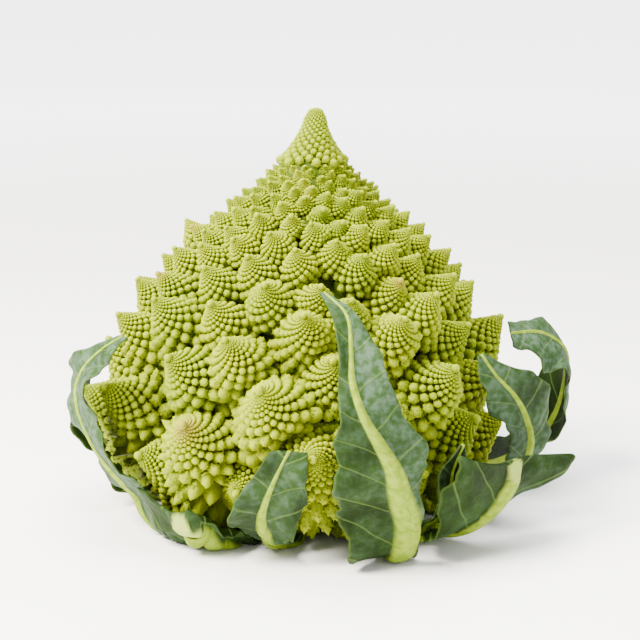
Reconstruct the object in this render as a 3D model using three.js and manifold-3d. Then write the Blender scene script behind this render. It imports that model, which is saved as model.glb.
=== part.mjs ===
// A romanesco head as picked: a curd of spiralling florets on its cut stalk, cradled by trimmed leaves.
// Millimetres, +Z up along the stalk, -Y towards the viewer, origin at the centre of the stalk's cut face.
import * as THREE from 'three';
import Module from 'manifold-3d';
import { mergeVertices } from 'three/addons/utils/BufferGeometryUtils.js';

const wasm = await Module();
wasm.setup();

// Driving dimensions
const headHeight = 150; // cut face to the tip of the curd
const headRadius = 80; // to the tips of the widest florets
const tipLean = 3; // the curd's tip stands this far towards +X
const bodyLean = -3.5; // and its body, up to lowLean of the height
const lowLean = 0.3;
const stalkRadius = 18;
const stalkTop = 29;
const hollowTop = 38; // highest point of the curd's underside
const bladeThickness = 1.1; // of a leaf, away from its rib and stem
const waveLength = 27; // of the ruffles along a leaf's edge

// The curd's outline through the floret tips, from the top down: shares of headRadius and headHeight.
const outline = [
  [0, 1], [0.044, 0.967], [0.063, 0.94], [0.113, 0.9], [0.213, 0.847], [0.363, 0.784], [0.581, 0.697],
  [0.788, 0.573], [0.888, 0.513], [0.988, 0.4], [1, 0.267], [0.955, 0.19], [0.86, 0.135],
].map(([r, z]) => [r * headRadius, z * headHeight]);

// The florets sit on one golden-angle spiral, each a fixed share further from the tip than the last.
const goldenAngle = Math.PI * (3 - Math.sqrt(5));
const spiralStart = THREE.MathUtils.degToRad(9);
const spiralTurn = -1; // clockwise seen from above
const firstReach = 6.017; // along the outline from the tip to floret 0
const growth = 0.0145; // each floret is this share further out
const firstFloret = 104; // smaller ones are single buds on the tip
const firstLargeFloret = 160;
const hexagon = Math.sqrt(3) / 2;

// How far a floret's axis rises above level, in degrees, by its reach along the outline.
const axisRise = [[0, 55], [60, 47], [95, 41], [122, 32], [142, 16], [160, -4], [178, -22]];

// A floret's own outline from its tip back, in rim radii: [out from its axis, back from its tip].
const floretOutline = [[0, 0], [0.27, 0.3], [0.57, 0.66], [0.86, 1.05], [1, 1.4], [0.98, 1.5]];
const coreDepth = 1.8; // rim radii from the floret tips in to the core
const rimShare = 0.47; // rim radius as a share of the room that a floret has
const cellGap = 0.12; // share of its room that a floret leaves free along its neighbours
const budCount = { large: 21, small: 12 };
const firstBud = { large: 0.16, small: 0.3 }; // reach of a floret's first bud, as a share of its last
const budTilt = [[0, 60], [1.3, 40], [2.3, 5]]; // a bud's rise towards its floret's tip, by its reach
const budHeight = 0.28; // shares of the room that a bud has
const budValley = 0.12; // depth of the dips between buds, in the same shares

// Helpers
let seed = 19;
const random = () => {
  seed = (seed * 1664525 + 1013904223) % 4294967296;
  return seed / 4294967296;
};
const vec = (x, y, z) => new THREE.Vector3(x, y, z);

// Straight-line reading of [[x, y], ...] at x.
function read(points, x) {
  let i = 1;
  while (i < points.length - 1 && points[i][0] < x) i += 1;
  const [x0, y0] = points[i - 1];
  const [x1, y1] = points[i];
  return y0 + ((y1 - y0) * (x - x0)) / (x1 - x0);
}

// [reach, value] tables of one coordinate of an outline.
function byReach(points) {
  const reach = [0];
  for (let i = 1; i < points.length; i += 1) {
    reach.push(reach[i - 1] + Math.hypot(points[i][0] - points[i - 1][0], points[i][1] - points[i - 1][1]));
  }
  return [0, 1].map((axis) => points.map((point, i) => [reach[i], point[axis]]));
}

const [outlineRadius, outlineHeight] = byReach(outline);
const fullReach = outlineRadius.at(-1)[0];

// A closed solid from points and the triangles that join them.
function solidFrom(positions, triangles) {
  const mesh = new wasm.Mesh({
    numProp: 3,
    vertProperties: Float32Array.from(positions.flatMap((p) => [p.x, p.y, p.z])),
    triVerts: Uint32Array.from(triangles.flat()),
  });
  return new wasm.Manifold(mesh);
}

// A closed solid from a ready-made geometry, its seams joined.
function solidOf(geometry) {
  geometry.deleteAttribute('normal');
  geometry.deleteAttribute('uv');
  const merged = mergeVertices(geometry, 1e-3);
  return new wasm.Manifold(new wasm.Mesh({
    numProp: 3,
    vertProperties: merged.attributes.position.array,
    triVerts: new Uint32Array(merged.index.array),
  }));
}

function geometryOf(solid) {
  const { vertProperties, triVerts, numProp } = solid.getMesh();
  const geometry = new THREE.BufferGeometry();
  const positions = new Float32Array((vertProperties.length / numProp) * 3);
  for (let i = 0; i < positions.length / 3; i += 1) {
    positions.set(vertProperties.subarray(i * numProp, i * numProp + 3), i * 3);
  }
  geometry.setAttribute('position', new THREE.BufferAttribute(positions, 3));
  geometry.setIndex(new THREE.BufferAttribute(triVerts, 1));
  geometry.computeVertexNormals();
  return geometry;
}

// Curd
// A skin of triangles, to be closed by the pieces added to it.
class Skin {
  positions = [];
  triangles = [];

  point(p) {
    return this.positions.push(p) - 1;
  }

  solid() {
    return solidFrom(this.positions, this.triangles);
  }
}

// Faces that join point j of a spiral to points j + a, j + b and j + a + b, which lie beside it.
function spiralFaces(count, [a, b], flipped) {
  const faces = [];
  for (let j = 0; j + a + b < count; j += 1) faces.push([j, j + a, j + a + b], [j, j + a + b, j + b]);
  return flipped ? faces.map(([p, q, r]) => [p, r, q]) : faces;
}

// The lattice of floret sites: of the two ways to split each four neighbours, the shorter at the roots.
function latticeFaces(sites, [a, b]) {
  const roots = sites.map(({ at, axis, spacing }) => (
    at.clone().addScaledVector(axis, -coreDepth * rimShare * spacing)));
  const across = (j, k) => roots[j].distanceTo(roots[k]);
  return spiralFaces(sites.length, [a, b], true).map(([p, q, r]) => {
    const upper = r - p === a; // the face below the edge that may be flipped
    const j = upper ? p - b : p;
    if (j < firstFloret || j + a + 2 * b >= sites.length) return [p, q, r];
    if (across(j + b, j + a + b) <= across(j, j + a + 2 * b)) return [p, q, r];
    return upper ? [j, j + b, j + a + 2 * b] : [j, j + a + 2 * b, j + a + b];
  });
}

// Which face has the edge from v to w.
function edgeOwners(faces) {
  const owners = new Map();
  faces.forEach((face, f) => face.forEach((v, k) => owners.set(`${v},${face[(k + 1) % 3]}`, f)));
  return owners;
}

// A loop of points, from which point follows which.
function chain(next) {
  const loop = [next.keys().next().value];
  while (next.get(loop.at(-1)) !== loop[0]) loop.push(next.get(loop.at(-1)));
  return loop;
}

// Joins an inner loop of points to the ring around it, both running counterclockwise about an axis.
function stitch(skin, inner, ring, { at, axis }) {
  const side = skin.positions[inner[0]].clone().sub(at);
  side.addScaledVector(axis, -side.dot(axis)).normalize();
  const up = axis.clone().cross(side);
  const angleOf = (k) => {
    const p = skin.positions[k].clone().sub(at);
    return Math.atan2(p.dot(up), p.dot(side));
  };
  const wrap = (angle) => angle - 2 * Math.PI * Math.round(angle / (2 * Math.PI));
  const unwound = (loop) => {
    const angles = [angleOf(loop[0])];
    for (let k = 1; k <= loop.length; k += 1) {
      angles.push(angles[k - 1] + wrap(angleOf(loop[k % loop.length]) - angles[k - 1]));
    }
    return angles;
  };
  const first = ring.reduce((best, _, k) => (
    Math.abs(angleOf(ring[k])) < Math.abs(angleOf(ring[best])) ? k : best), 0);
  const outer = [...ring.slice(first), ...ring.slice(0, first)];
  const [innerAngles, outerAngles] = [unwound(inner), unwound(outer)];
  let [i, k] = [0, 0];
  while (i < inner.length || k < outer.length) {
    const [p, q] = [inner[i % inner.length], inner[(i + 1) % inner.length]];
    const [r, s] = [outer[k % outer.length], outer[(k + 1) % outer.length]];
    const innerNext = innerAngles[i] + innerAngles[i + 1] < outerAngles[k] + outerAngles[k + 1];
    if (k === outer.length || (i < inner.length && innerNext)) {
      skin.triangles.push([q, p, r]);
      i += 1;
    } else {
      skin.triangles.push([r, s, p]);
      k += 1;
    }
  }
}

// A point on the curd's outline, with the direction its floret grows in and the room that it has.
function curdSite(reach, turn) {
  const radius = read(outlineRadius, reach);
  const height = read(outlineHeight, reach);
  const rise = THREE.MathUtils.degToRad(read(axisRise, reach));
  const spacing = Math.sqrt((2 * Math.PI * radius * growth * reach) / hexagon);
  const leanShare = THREE.MathUtils.clamp((height / headHeight - lowLean) / (1 - lowLean), 0, 1);
  const lean = bodyLean + (tipLean - bodyLean) * leanShare;
  const out = vec(Math.cos(turn), Math.sin(turn), 0);
  return {
    at: out.clone().multiplyScalar(radius).add(vec(lean, 0, height)),
    axis: out.clone().multiplyScalar(Math.cos(rise)).add(vec(0, 0, Math.sin(rise))),
    spacing,
  };
}

// Where the golden-angle spiral puts floret n.
const reachOf = (n) => firstReach * Math.exp(growth * n);
const turnOf = (n) => spiralStart + spiralTurn * n * goldenAngle;

// The buds of one floret, from its tip back.
function floretBuds(site, large) {
  const count = large ? budCount.large : budCount.small;
  const firstShare = large ? firstBud.large : firstBud.small;
  const rim = rimShare * site.spacing;
  const [radii, depths] = byReach(floretOutline);
  const slant = radii.at(-1)[0];
  const turn = random() < 0.5 ? 1 : -1;
  const start = 2 * Math.PI * random();
  const side = vec(0, 0, 1).cross(site.axis).normalize();
  const up = site.axis.clone().cross(side);
  const budGrowth = -Math.log(firstShare) / (count - 1);
  const buds = [];
  for (let j = 0; j < count; j += 1) {
    const reach = slant * firstShare ** (1 - j / (count - 1));
    const radius = read(radii, reach);
    const angle = start + turn * j * goldenAngle;
    const out = side.clone().multiplyScalar(Math.cos(angle)).addScaledVector(up, Math.sin(angle));
    const tilt = THREE.MathUtils.degToRad(read(budTilt, reach));
    const foot = site.at.clone().addScaledVector(site.axis, -read(depths, reach) * rim);
    buds.push({
      at: foot.addScaledVector(out, radius * rim),
      axis: out.multiplyScalar(Math.cos(tilt)).addScaledVector(site.axis, Math.sin(tilt)),
      spacing: rim * Math.sqrt((2 * Math.PI * radius * budGrowth * reach) / hexagon),
    });
  }
  return { buds, flipped: turn < 0 };
}

// Distance from a point to the line a floret grows along, and the nearest point on that line.
function toAxis(p, { at, axis }) {
  const foot = at.clone().addScaledVector(axis, Math.min(0, p.clone().sub(at).dot(axis)));
  return { foot, distance: p.distanceTo(foot) };
}

// Draws a point of a floret in towards its axis until it is clear of its neighbours' half of the room.
function keepInCell(p, site, neighbours) {
  const moved = p.clone();
  for (let step = 0; step < 30; step += 1) {
    const own = toAxis(moved, site);
    const crowded = neighbours.some((other) => (
      own.distance / site.spacing > (1 - cellGap) * (toAxis(moved, other).distance / other.spacing)));
    if (!crowded) break;
    moved.lerp(own.foot, 0.04);
  }
  return moved;
}

// The raised middle of a bud, and the dip between three of them.
const budPeak = ({ at, axis, spacing }) => at.clone().addScaledVector(axis, budHeight * spacing);

function valleyOf(buds, depth) {
  const valley = vec(0, 0, 0);
  for (const { at, axis, spacing } of buds) valley.add(at).addScaledVector(axis, -depth * spacing);
  return valley.multiplyScalar(1 / buds.length);
}

// Moves a point between florets until it has the same share of room from the axis of each.
function balance(p, sites) {
  const moved = p.clone();
  const inward = vec(0, 0, 0);
  for (const { axis } of sites) inward.add(axis);
  inward.normalize();
  for (let step = 0; step < 40; step += 1) {
    const lines = sites.map((site) => ({ ...toAxis(moved, site), spacing: site.spacing }));
    const share = lines.reduce((sum, line) => sum + line.distance / line.spacing, 0) / lines.length;
    const shift = vec(0, 0, 0);
    for (const { foot, distance, spacing } of lines) {
      shift.addScaledVector(moved.clone().sub(foot).normalize(), 0.5 * (share * spacing - distance));
    }
    moved.add(shift.addScaledVector(inward, -shift.dot(inward)));
  }
  return moved;
}

// One floret, raised inside the ring of valley points round its place.
function raiseFloret(skin, site, around, ring, large) {
  const neighbours = large ? [3, 5] : [2, 3];
  const steps = neighbours[0] + neighbours[1];
  const { buds, flipped } = floretBuds(site, large);
  const faces = spiralFaces(buds.length, neighbours, flipped !== large);
  const owners = edgeOwners(faces);
  const place = (p) => skin.point(keepInCell(p, site, around));
  const peaks = buds.map((bud) => place(budPeak(bud)));
  const valleys = faces.map((face) => (
    place(valleyOf(face.map((k) => buds[k]), Math.max(...face) < buds.length - 4 ? budValley : -0.05))));
  const tip = skin.point(site.at.clone().addScaledVector(site.axis, 0.12 * rimShare * site.spacing));
  const rootLoop = new Map();
  for (const [edge, f] of owners) {
    const [v, w] = edge.split(',').map(Number);
    const across = owners.get(`${w},${v}`);
    if (across !== undefined) {
      skin.triangles.push([peaks[v], valleys[across], valleys[f]]);
    } else {
      skin.triangles.push([peaks[v], peaks[w], valleys[f]]);
      if (Math.min(v, w) < steps) skin.triangles.push([peaks[w], peaks[v], tip]);
      else rootLoop.set(v, w);
    }
  }
  stitch(skin, chain(rootLoop).map((k) => peaks[k]), ring, site);
}

// The curd as one skin: single buds at the tip, then florets, each inside its ring of valleys.
function curd() {
  const sites = [];
  for (let n = 0; reachOf(n) < fullReach; n += 1) sites.push(curdSite(reachOf(n), turnOf(n)));
  const neighbours = [5, 8];
  const steps = neighbours[0] + neighbours[1];
  const faces = latticeFaces(sites, neighbours);
  const open = edgeOwners(faces);
  const [tip, root] = [sites.length, sites.length + 1];
  for (const edge of open.keys()) {
    const [v, w] = edge.split(',').map(Number);
    if (!open.has(`${w},${v}`)) faces.push([w, v, Math.min(v, w) < steps ? tip : root]);
  }
  const owners = edgeOwners(faces);
  const places = [...sites, curdSite(0, 0), { at: vec(bodyLean, 0, hollowTop), axis: vec(0, 0, -1), spacing: 0 }];
  const skin = new Skin();
  const valleys = faces.map((face) => {
    const around = face.map((k) => places[k]);
    const last = Math.max(...face.filter((k) => k < tip));
    if (last < firstFloret) return skin.point(valleyOf(around, 0.14));
    const edge = around.filter((place) => place !== places[root]);
    const valley = valleyOf(edge, coreDepth * rimShare);
    if (edge.length === 3) return skin.point(balance(valley, edge));
    const { axis, spacing } = edge[0]; // a valley on the curd's underside, below its lowest florets
    const under = vec(0, 0, -1).addScaledVector(axis, axis.z).normalize();
    return skin.point(balance(valley.addScaledVector(under, 0.3 * spacing), edge));
  });
  places.forEach((place, n) => {
    const start = faces.findIndex((face) => face.includes(n));
    const ring = [];
    let f = start;
    do {
      ring.push(valleys[f]);
      const face = faces[f];
      f = owners.get(`${n},${face[(face.indexOf(n) + 2) % 3]}`);
    } while (f !== start);
    if (n >= firstFloret && n < tip) {
      const corners = faces.filter((face) => face.includes(n)).flat();
      const around = [...new Set(corners)].filter((k) => k < tip && k !== n).map((k) => places[k]);
      raiseFloret(skin, place, around, ring, n >= firstLargeFloret);
    } else {
      const peak = skin.point(n < tip ? budPeak(place) : place.at);
      ring.forEach((v, k) => skin.triangles.push([peak, v, ring[(k + 1) % ring.length]]));
    }
  });
  return skin.solid();
}

// The stalk, with the flat face left by the knife, standing up into the curd's hollow.
function stalk() {
  const side = [[stalkRadius - 1, 0], [stalkRadius, 1], [stalkRadius, 16], [stalkRadius - 5, stalkTop]];
  const points = [[0, 0], ...side, [0, stalkTop]].map(([r, z]) => new THREE.Vector2(r, z));
  const shaft = new THREE.LatheGeometry(points, 24);
  shaft.rotateX(Math.PI / 2);
  return solidOf(shaft);
}

// A leaf grows out under the curd and turns up its side. Each row of its path is
// [distance from the stalk's axis, azimuth in degrees, height, blade to the left, blade to the right],
// left and right as seen from outside. A rib is given by its half widths at the stem and at the end.
const leaves = {
  leaf_front: {
    rows: [
      [20, -62, 4.6, 4.5, 4.5], [42, -61, 4.6, 5, 5], [65, -63, 3.4, 10, 6], [73, -64, 6.5, 19, 5.5],
      [80, -65, 18, 24, 5.5], [85, -69, 31, 22, 6.5], [88, -71, 39, 20, 13], [89, -75, 50, 14, 15],
      [89, -78, 58, 8, 14], [86, -80, 69, 4, 12], [83, -80, 79, 4, 9], [77, -80, 89, 6, 3],
      [68, -85, 95, 1, 1],
    ],
    stations: 20, wave: 2, curl: 1.5, rib: [5.2, 0.4],
  },
  leaf_front_left: {
    rows: [
      [20, -98, 11, 3.5, 3.5], [42, -99, 9, 5, 5], [62, -103, 10, 8, 8], [72, -102, 19, 12, 13],
      [78, -99, 30, 9, 13], [83, -94, 45, 6, 6],
    ],
    stations: 12, wave: 2, curl: 3, rib: [3, 0.8],
  },
  leaf_left: {
    rows: [
      [20, -143, 4.8, 4, 4], [42, -144, 5, 6, 6], [65, -147, 11, 12, 9], [79, -152, 25, 16, 18],
      [86, -157, 40, 15, 17], [88, -159, 51, 14, 14], [87, -155, 61, 12, 12], [84, -148, 70, 9, 9],
      [80, -142, 76, 2, 2],
    ],
    stations: 17, wave: 2, curl: 1,
  },
  leaf_left_trimmed: {
    rows: [
      [20, -117, 4.6, 4, 4.5], [40, -119, 4.6, 7, 7], [58, -121, 7, 12, 9], [68, -123, 13, 16, 11],
      [77, -125, 21, 16, 11],
    ],
    stations: 11, wave: 1.5, curl: 0, lift: [4, 3], rib: [4.2, 4.2],
  },
  leaf_right_trimmed: {
    rows: [
      [20, -32, 4.6, 4, 4], [46, -36, 4.6, 7, 6], [66, -42, 5, 12, 6], [76, -41, 9, 21, 8],
      [84, -39, 17, 27, 13], [88, -37, 26, 30, 20], [89, -36, 33, 28, 20],
    ],
    stations: 15, wave: 1.5, curl: 1, flap: [12, 0.65], lift: [8, 0], rib: [4.2, 4.2],
  },
  leaf_right: {
    rows: [
      [20, -7, 4.8, 3.5, 3.5], [46, -9, 5, 6, 6], [68, -11, 8, 11, 8], [79, -14, 19, 12, 5],
      [84, -17, 30, 11, 6], [84, -21, 41, 11, 13], [81, -25, 51, 11, 12], [76, -29, 59, 8, 8],
      [72, -32, 67, 1, 1],
    ],
    stations: 16, wave: 2, curl: 0.5, twist: [38, 0.3], rib: [3.2, 0.6],
  },
  leaf_right_folded: {
    rows: [
      [20, 22, 4.6, 5, 5], [50, 20, 4.6, 7, 7], [76, 19, 7, 12, 12], [94, 18, 15, 13, 16],
      [103, 18, 27, 13, 20], [107, 19, 40, 14, 20], [105, 18, 52, 15, 15], [94, 16, 60, 14, 9],
      [79, 12, 62, 6, 6],
    ],
    stations: 17, wave: 2.5, curl: -3, twist: [35, 0.55], rib: [3.4, 0.8],
  },
  leaf_young: {
    rows: [
      [22, -48, 10, 2, 2], [46, -48, 8, 2.5, 2.5], [68, -50, 11, 4, 4], [77, -51, 21, 6, 6],
      [79, -51, 32, 6, 6], [81, -49, 41, 1, 1],
    ],
    stations: 10, wave: 1, curl: 1, rib: [1.8, 0.5],
  },
  leaf_back_right: {
    rows: [
      [20, 53, 4.6, 5, 5], [46, 53, 4.6, 7, 7], [68, 54, 8, 16, 16], [82, 55, 24, 23, 23],
      [87, 56, 46, 25, 25], [86, 56, 66, 15, 17], [80, 56, 82, 8, 9], [73, 56, 93, 2, 2],
    ],
    stations: 16, wave: 3, curl: 2,
  },
  leaf_back: {
    rows: [
      [20, 88, 4.8, 4, 4], [46, 88, 5, 6, 6], [68, 89, 9, 13, 13], [81, 90, 28, 18, 18],
      [87, 90, 44, 18, 18], [88, 90, 58, 13, 13],
    ],
    stations: 12, wave: 2.5, curl: 3,
  },
  leaf_back_left: {
    rows: [
      [20, 124, 4.6, 5, 5], [46, 124, 4.6, 7, 7], [68, 124, 8, 16, 16], [82, 124, 24, 23, 23],
      [87, 124, 46, 25, 25], [86, 124, 66, 17, 15], [80, 124, 80, 9, 8], [74, 124, 90, 2, 2],
    ],
    stations: 16, wave: 3, curl: 2,
  },
  leaf_side: {
    rows: [
      [20, 172, 4.6, 5, 5], [46, 172, 4.6, 6, 6], [68, 172, 9, 14, 14], [81, 172, 24, 19, 17],
      [86, 172, 40, 17, 15], [84, 172, 53, 2, 2],
    ],
    stations: 13, wave: 2.5, curl: 2,
  },
};

// How far out the curd reaches near a place beside it, and how low it hangs over a place below it.
function curdClearance(curdSolid) {
  const { vertProperties } = curdSolid.getMesh();
  const points = [];
  for (let i = 0; i < vertProperties.length; i += 3) {
    const [x, y, z] = vertProperties.subarray(i, i + 3);
    points.push({ radius: Math.hypot(x, y), azimuth: Math.atan2(y, x), z });
  }
  const aside = (p, azimuth) => {
    const angle = p.azimuth - azimuth;
    return Math.abs(angle - 2 * Math.PI * Math.round(angle / (2 * Math.PI))) * p.radius;
  };
  return {
    reachBeside: (azimuth, z) => points.reduce((most, p) => (
      Math.abs(p.z - z) < 7 && aside(p, azimuth) < 7 ? Math.max(most, p.radius) : most), 0),
    dropOver: (azimuth, radius) => points.reduce((least, p) => (
      Math.abs(p.radius - radius) < 7 && aside(p, azimuth) < 7 ? Math.min(least, p.z) : least), Infinity),
  };
}

// Moves a point of a leaf down or out until it clears the curd.
function bendClear(point, normal, margin, { reachBeside, dropOver }) {
  const radius = Math.hypot(point.x, point.y);
  const azimuth = Math.atan2(point.y, point.x);
  if (normal.z < -0.75) {
    point.z = Math.min(point.z, dropOver(azimuth, radius) - margin);
    return;
  }
  const wanted = Math.max(radius, reachBeside(azimuth, point.z) + margin);
  point.x *= wanted / radius;
  point.y *= wanted / radius;
}

// Points of a leaf's two faces at one station, from its left edge to its right.
function leafStation(leaf, curve, length, t, clearance) {
  const middle = curve.getPoint(t);
  const along = curve.getTangent(t);
  const azimuth = Math.atan2(middle.y, middle.x);
  const radius = Math.hypot(middle.x, middle.y);
  const at = t * (leaf.rows.length - 1);
  const row = leaf.rows.map((values, i) => [i, values]);
  const [left, right] = [3, 4].map((column) => read(row.map(([i, values]) => [i, values[column]]), at));
  const petiole = THREE.MathUtils.clamp(1 - (radius - 30) / 35, 0, 1) * (middle.z < 40 ? 1 : 0);
  const ribHalf = Math.min(THREE.MathUtils.lerp(...(leaf.rib ?? [4.4, 0.6]), t), 0.7 * Math.min(left, right));
  const ribHeight = 0.35 + 0.5 * ribHalf + 0.6 * petiole;
  const [twistBy, twistFrom] = leaf.twist ?? [0, 0];
  const twist = THREE.MathUtils.degToRad(twistBy) * THREE.MathUtils.smoothstep(t, twistFrom, twistFrom + 0.3);
  const thickness = bladeThickness + 1.4 * petiole;
  const columns = [-left, -(left + ribHalf) / 2, -ribHalf, 0, ribHalf, (right + ribHalf) / 2, right];
  const bulges = [0, 0, 0.4, 1, 0.4, 0, 0];
  return columns.map((across, column) => {
    const side = across < 0 ? 0 : 1;
    const share = across / (side ? right : left);
    const edge = share * share * (1 - petiole) * Math.min(1, 5 * (1 - t));
    const ripple = Math.sin((2 * Math.PI * length * t) / waveLength + (side ? 2.6 : 0.4));
    const [flapOut, flapFrom] = leaf.flap ?? [0, 0];
    const flapShare = (across / 20) ** 2 * THREE.MathUtils.smoothstep(t, flapFrom, flapFrom + 0.25);
    const flap = side * flapOut * flapShare;
    const lift = (leaf.lift ?? [0, 0])[side] * share * share * THREE.MathUtils.smoothstep(t, 0.45, 0.8);
    const turn = (across * Math.cos(twist)) / radius;
    const around = vec(-Math.sin(azimuth + turn), Math.cos(azimuth + turn), 0);
    const normal = around.clone().cross(along.clone().applyAxisAngle(vec(0, 0, 1), turn)).normalize();
    const centre = vec(radius * Math.cos(azimuth + turn), radius * Math.sin(azimuth + turn), middle.z + lift);
    centre.addScaledVector(normal, edge * (leaf.wave * ripple + leaf.curl) + flap + across * Math.sin(twist));
    bendClear(centre, normal, thickness / 2 + 2, clearance);
    const outer = centre.clone().addScaledVector(normal, thickness / 2 + bulges[column] * ribHeight);
    const inner = centre.clone().addScaledVector(normal, -thickness / 2);
    outer.z = Math.max(outer.z, 0);
    inner.z = Math.max(inner.z, outer.z === 0 ? thickness : 0);
    return { outer, inner };
  });
}

// A leaf: stations along its middle line, joined into an outer and an inner face and a rim.
function leafSolid(leaf, clearance) {
  const knots = leaf.rows.map(([radius, azimuth, z]) => {
    const angle = THREE.MathUtils.degToRad(azimuth);
    return vec(radius * Math.cos(angle), radius * Math.sin(angle), z);
  });
  const curve = new THREE.CatmullRomCurve3(knots, false, 'centripetal');
  const length = curve.getLength();
  const skin = new Skin();
  const rows = [];
  for (let s = 0; s < leaf.stations; s += 1) {
    const station = leafStation(leaf, curve, length, s / (leaf.stations - 1), clearance);
    rows.push(station.map(({ outer, inner }) => [skin.point(outer), skin.point(inner)]));
  }
  const quad = (a, b, c, d) => skin.triangles.push([a, b, c], [a, c, d]);
  const last = rows.length - 1;
  const edge = rows[0].length - 1;
  for (let s = 0; s < last; s += 1) {
    const [row, next] = [rows[s], rows[s + 1]];
    for (let c = 0; c < edge; c += 1) {
      quad(row[c][0], row[c + 1][0], next[c + 1][0], next[c][0]);
      const [a, b, d, e] = [row[c][1], row[c + 1][1], next[c + 1][1], next[c][1]];
      skin.triangles.push([a, d, b], [a, e, d]);
    }
    quad(row[0][1], row[0][0], next[0][0], next[0][1]);
    quad(row[edge][0], row[edge][1], next[edge][1], next[edge][0]);
  }
  for (let c = 0; c < edge; c += 1) {
    quad(rows[0][c][1], rows[0][c + 1][1], rows[0][c + 1][0], rows[0][c][0]);
    quad(rows[last][c][0], rows[last][c + 1][0], rows[last][c + 1][1], rows[last][c][1]);
  }
  return skin.solid();
}

const material = (color, roughness) => new THREE.MeshStandardMaterial({ color, roughness, metalness: 0 });

const part = new THREE.Group();
function add(name, solid, finish) {
  const mesh = new THREE.Mesh(geometryOf(solid), finish);
  mesh.name = name;
  part.add(mesh);
}

const curdBody = curd();
const clearance = curdClearance(curdBody);
add('curd', curdBody, material('#b9cc3a', 0.6));
add('stalk', stalk(), material('#cfdca0', 0.55));
for (const [name, leaf] of Object.entries(leaves)) {
  add(name, leafSolid(leaf, clearance), material('#6d8f6c', 0.6));
}

export default part;
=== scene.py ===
import math
import bpy
import numpy as np
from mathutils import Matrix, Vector


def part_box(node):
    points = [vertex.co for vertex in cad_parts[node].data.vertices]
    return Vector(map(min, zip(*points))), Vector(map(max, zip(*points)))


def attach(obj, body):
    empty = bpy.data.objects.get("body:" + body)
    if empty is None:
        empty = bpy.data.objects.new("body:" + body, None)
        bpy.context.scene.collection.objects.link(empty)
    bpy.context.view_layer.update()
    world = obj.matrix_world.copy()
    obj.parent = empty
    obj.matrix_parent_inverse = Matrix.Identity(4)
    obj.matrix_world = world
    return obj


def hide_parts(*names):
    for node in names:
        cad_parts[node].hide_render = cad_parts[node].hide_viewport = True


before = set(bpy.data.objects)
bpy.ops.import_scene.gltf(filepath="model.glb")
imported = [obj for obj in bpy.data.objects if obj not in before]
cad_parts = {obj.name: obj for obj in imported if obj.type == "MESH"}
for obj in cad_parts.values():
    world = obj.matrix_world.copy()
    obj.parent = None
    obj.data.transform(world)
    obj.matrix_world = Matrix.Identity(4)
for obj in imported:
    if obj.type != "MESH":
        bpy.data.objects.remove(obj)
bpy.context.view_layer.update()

# A romanesco head on its cut stalk, cradled by trimmed leaves.
# Shapes are worked out in millimetres in the CAD frame and turned to metres in meshPiece.
millimetre = 0.001
goldenAngle = math.pi * (3 - math.sqrt(5))
rng = np.random.default_rng(19)


def hexColor(code):  # sRGB hex to linear
    parts = [int(code[i:i + 2], 16) / 255 for i in (1, 3, 5)]
    return (*[c / 12.92 if c <= 0.04045 else ((c + 0.055) / 1.055) ** 2.4 for c in parts], 1.0)


def unit(v):
    return v / np.maximum(np.linalg.norm(v, axis=-1, keepdims=True), 1e-9)


def smoothstep(x, low, high):
    x = np.clip((x - low) / (high - low), 0, 1)
    return x * x * (3 - 2 * x)


def meshPiece(name, points, faces, material, attributes=None, uv=None):
    mesh = bpy.data.meshes.new(name)
    mesh.vertices.add(len(points))
    mesh.vertices.foreach_set("co", (np.asarray(points, dtype=np.float64) * millimetre).ravel())
    mesh.loops.add(3 * len(faces))
    mesh.loops.foreach_set("vertex_index", np.asarray(faces, dtype=np.int32).ravel())
    mesh.polygons.add(len(faces))
    mesh.polygons.foreach_set("loop_start", np.arange(0, 3 * len(faces), 3, dtype=np.int32))
    mesh.update(calc_edges=True)
    for key, values in (attributes or {}).items():
        layer = mesh.attributes.new(key, "FLOAT", "POINT")
        layer.data.foreach_set("value", np.asarray(values, dtype=np.float32))
    if uv is not None:
        layer = mesh.uv_layers.new(name="bladeMap")
        corners = np.asarray(uv, dtype=np.float32)[np.asarray(faces).ravel()]
        layer.data.foreach_set("uv", corners.ravel())
    mesh.polygons.foreach_set("use_smooth", np.ones(len(faces), dtype=bool))
    mesh.materials.append(material)
    piece = bpy.data.objects.new(name, mesh)
    bpy.context.collection.objects.link(piece)
    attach(piece, "root")
    print("piece", name, len(faces), "triangles")
    return piece


def addNode(tree, kind, inputs=None, out=0, **settings):
    # one node with its settings and links; gives back the output asked for. Inputs go by name or
    # number: 0 to 4 of MapRange are value, from min and max, to min and max; 6 and 7 of Mix colors
    node = tree.nodes.new("ShaderNode" + kind)
    for key, value in settings.items():
        setattr(node, key, value)
    for key, value in (inputs or {}).items():
        socket = node.inputs[key]
        if isinstance(value, bpy.types.NodeSocket):
            tree.links.new(value, socket)
        else:
            socket.default_value = value
    return node.outputs[out]


def newMaterial(name):
    material = bpy.data.materials.new(name)
    material.use_nodes = True
    tree = material.node_tree
    return material, tree, tree.nodes["Principled BSDF"]


def finishShader(shader, settings):
    for key, value in settings.items():
        shader.inputs[key].default_value = value


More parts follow.
